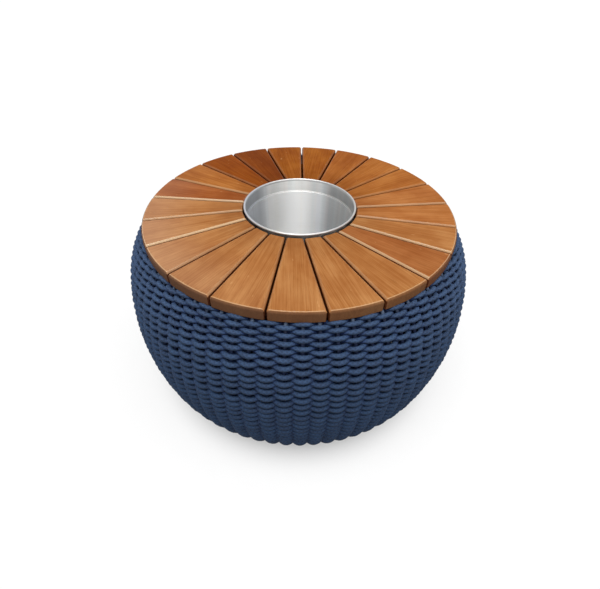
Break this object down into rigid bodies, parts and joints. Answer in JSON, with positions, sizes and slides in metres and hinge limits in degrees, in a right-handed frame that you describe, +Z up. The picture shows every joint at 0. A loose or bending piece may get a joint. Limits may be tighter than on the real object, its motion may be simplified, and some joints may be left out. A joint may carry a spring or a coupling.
{
  "type": "ice bucket coffee table",
  "caption": "Low round coffee table with a belly-shaped woven rope body, a top of radial wooden slats and a round metal ice bucket dropped into its centre.",
  "frame": {"origin": "on the floor under the middle of the table", "axes": "+Z up along the table's axis, -Y towards the front as pictured, +X to the right"},
  "size_m": [0.7099, 0.71, 0.4045],
  "materials": {
    "wood": "oiled and satin varnished hardwood, eased edges",
    "rope": "braided outdoor rope, navy blue, matt",
    "stakes": "navy powder coat, satin",
    "frame": "navy powder coat on aluminium, satin",
    "screws": "stainless",
    "glides": "black nylon",
    "bucket": "brushed, fine hoop-wise grain"
  },
  "bodies": {
    "table": {"slat_01": "wood", "slat_02": "wood", "slat_03": "wood", "slat_04": "wood", "slat_05": "wood", "slat_06": "wood", "slat_07": "wood", "slat_08": "wood", "slat_09": "wood", "slat_10": "wood", "slat_11": "wood", "slat_12": "wood", "slat_13": "wood", "slat_14": "wood", "slat_15": "wood", "slat_16": "wood", "slat_17": "wood", "slat_18": "wood", "slat_19": "wood", "slat_20": "wood", "slat_21": "wood", "outer_slat_ring": "frame", "inner_slat_ring": "frame", "bucket_seat_ring": "frame", "top_hoop": "frame", "base_hoop": "frame", "rib_1": "frame", "rib_2": "frame", "rib_3": "frame", "rib_4": "frame", "rib_5": "frame", "rib_6": "frame", "rib_7": "frame", "rail_1": "frame", "rail_2": "frame", "rail_3": "frame", "rail_4": "frame", "rail_5": "frame", "rail_6": "frame", "rail_7": "frame", "outer_slat_screws": "screws", "inner_slat_screws": "screws", "glide_1": "glides", "glide_2": "glides", "glide_3": "glides", "glide_4": "glides", "glide_5": "glides", "glide_6": "glides", "glide_7": "glides", "stakes": "stakes", "weave_outside": "rope", "weave_inside": "rope"},
    "bucket": {"ice_bucket": "bucket"}
  },
  "joints": [
    {"name": "bucket_lift", "type": "slide", "parent": "table", "child": "bucket", "axis": [0, 0, 1], "range_m": [0, 0.21]}
  ]
}
